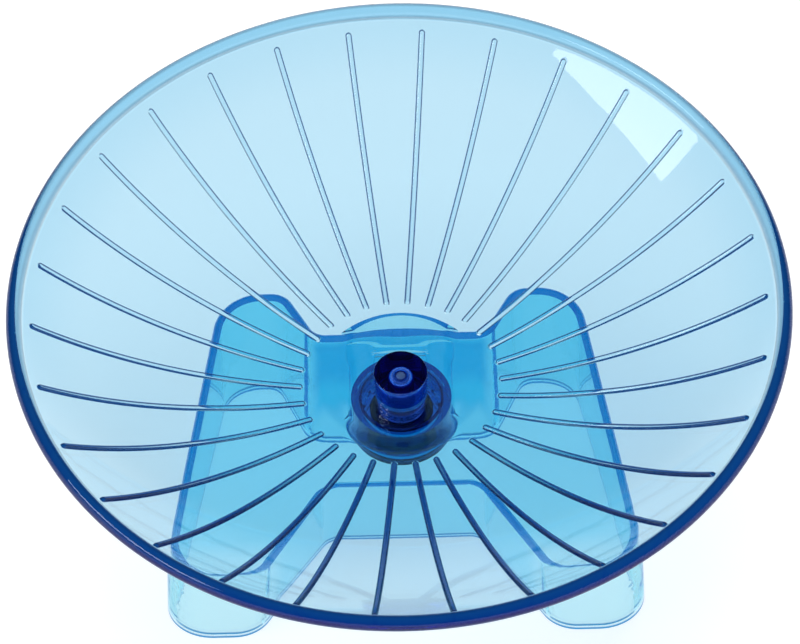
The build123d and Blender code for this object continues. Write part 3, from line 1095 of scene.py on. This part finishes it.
@dataclass
class Studio:
    """Pale floor, soft boxes, world and camera."""

    floor_r: float = 6.0
    floor_points: int = 96
    floor_colour: tuple[float, float, float] = (0.42, 0.42, 0.42)
    floor_glow: float = 0.80
    floor_through: float = 0.65
    sky_gloss: float = 0.02
    sky_through: float = 0.45
    sky_step: tuple[float, float] = (0.12, 0.34)
    sensor: float = 36.0
    clip: tuple[float, float] = (0.05, 50.0)
    picture_width: float = 800.0
    focal_px: float = 5066.0
    camera_distance: float = 1183.97
    aim_right: float = 0.206
    aim_up: float = -14.218
    polar: float = 37.29
    roll: float = -1.37
    lights: dict[str, tuple[tuple[float, float, float], tuple[float, float], float]] = field(
        default_factory=lambda: {
            "left_box": ((-0.976, -0.419, 0.913), (0.83, 0.345), 5.0),
            "rear_fill": ((0.5, 1.3, 1.1), (1.0, 0.5), 8.0),
            "top_fill": ((0.0, 0.0, 1.7), (1.2, 1.2), 16.0),
        })

    def floor(self) -> None:
        """Builds the floor: a disc that is lit and shadowed, and lifted to white for the eye."""
        turn = np.linspace(0, 2 * np.pi, self.floor_points, endpoint=False)
        ring = np.stack([self.floor_r * np.cos(turn), self.floor_r * np.sin(turn), 0 * turn], axis=-1)
        obj = new_mesh("floor", ring, [np.arange(self.floor_points)[None, :]])
        material = bpy.data.materials.new("pale_floor")
        material.use_nodes = True
        nodes = NodeTree(material.node_tree)
        path = nodes.add("ShaderNodeLightPath").outputs
        eye = nodes.add("ShaderNodeMath", {0: path["Is Camera Ray"], 1: self.floor_glow},
                        operation="MULTIPLY")
        seen = nodes.add("ShaderNodeMath", {0: path["Is Glossy Ray"], 1: path["Is Transmission Ray"]},
                         operation="MAXIMUM")
        glow = nodes.add("ShaderNodeMath", {0: seen.outputs[0], 1: self.floor_through, 2: eye.outputs[0]},
                         operation="MULTIPLY_ADD")
        lit = nodes.add("ShaderNodeBsdfDiffuse", {"Color": (*self.floor_colour, 1.0)})
        lift = nodes.add("ShaderNodeEmission", {"Strength": glow.outputs[0]})
        both = nodes.add("ShaderNodeAddShader", {0: lit.outputs[0], 1: lift.outputs[0]})
        nodes.add("ShaderNodeOutputMaterial", {"Surface": both.outputs[0]})
        obj.data.materials.append(material)

    def world(self) -> None:
        """Builds the world: white for the eye, and for gloss and glass white low down and dark higher."""
        world = bpy.data.worlds.new("studio")
        bpy.context.scene.world = world
        world.use_nodes = True
        nodes = NodeTree(world.node_tree)
        path = nodes.add("ShaderNodeLightPath").outputs
        place = nodes.add("ShaderNodeTexCoord").outputs["Generated"]
        height = nodes.add("ShaderNodeSeparateXYZ", {0: place}).outputs["Z"]
        above = nodes.add("ShaderNodeMath", {0: path["Is Transmission Ray"], 1: self.sky_through,
                                             2: self.sky_gloss}, operation="MULTIPLY_ADD")
        low, high = self.sky_step
        ramp = nodes.add("ShaderNodeMapRange", {"Value": height, "From Min": low, "From Max": high,
                                                "To Min": 1.0, "To Max": above.outputs[0]})
        grey = nodes.add("ShaderNodeCombineColor", {0: ramp.outputs[0], 1: ramp.outputs[0],
                                                    2: ramp.outputs[0]})
        colour = nodes.add("ShaderNodeMix", {0: path["Is Camera Ray"], 6: grey.outputs[0],
                                             7: (1.0, 1.0, 1.0, 1.0)}, data_type="RGBA")
        back = nodes.add("ShaderNodeBackground", {"Color": colour.outputs[2]})
        nodes.add("ShaderNodeOutputWorld", {"Surface": back.outputs[0]})

    def lamps(self) -> None:
        """Hangs the soft boxes, each facing the object. The fills light it, and don't show in its gloss."""
        for name, (place, size, power) in self.lights.items():
            lamp = bpy.data.lights.new(name, "AREA")
            lamp.shape = "RECTANGLE"
            lamp.size, lamp.size_y = size
            lamp.energy = power
            obj = bpy.data.objects.new(name, lamp)
            obj.location = place
            obj.rotation_euler = (-Vector(place)).to_track_quat("-Z", "Y").to_euler()
            obj.visible_glossy = not name.endswith("fill")
            obj.visible_transmission = False
            bpy.context.scene.collection.objects.link(obj)

    def camera(self) -> None:
        """Sets the camera where the photograph was taken from."""
        back = np.array([0.0, -np.sin(np.radians(self.polar)), np.cos(np.radians(self.polar))])
        right = np.array([1.0, 0.0, 0.0])
        up = np.cross(back, right)
        c, s = np.cos(np.radians(self.roll)), np.sin(np.radians(self.roll))
        right, up = c * right + s * up, c * up - s * right
        place = self.camera_distance * back - self.aim_right * right - self.aim_up * up
        turn = AXIS.place(np.stack([right, up, back])) - AXIS.place(np.zeros((1, 3)))
        turn /= np.linalg.norm(turn, axis=1, keepdims=True)
        lens = bpy.data.cameras.new("camera")
        lens.sensor_width = self.sensor
        lens.lens = self.focal_px * self.sensor / self.picture_width
        lens.clip_start, lens.clip_end = self.clip
        obj = bpy.data.objects.new("camera", lens)
        obj.matrix_world = Matrix.Translation(AXIS.place(place)) @ Matrix(turn.T.tolist()).to_4x4()
        bpy.context.scene.collection.objects.link(obj)
        bpy.context.scene.camera = obj

    def build(self) -> None:
        """Builds the studio."""
        bpy.context.scene.view_settings.view_transform = "Standard"
        self.floor()
        self.world()
        self.lamps()
        self.camera()


def main() -> None:
    """Builds the object and the studio."""
    logging.basicConfig(level=logging.INFO, format="%(message)s")
    for part in (Saucer(), Hub(), Bearing(), Stand(), Studio()):
        part.build()


if __name__ == "__main__":
    main()
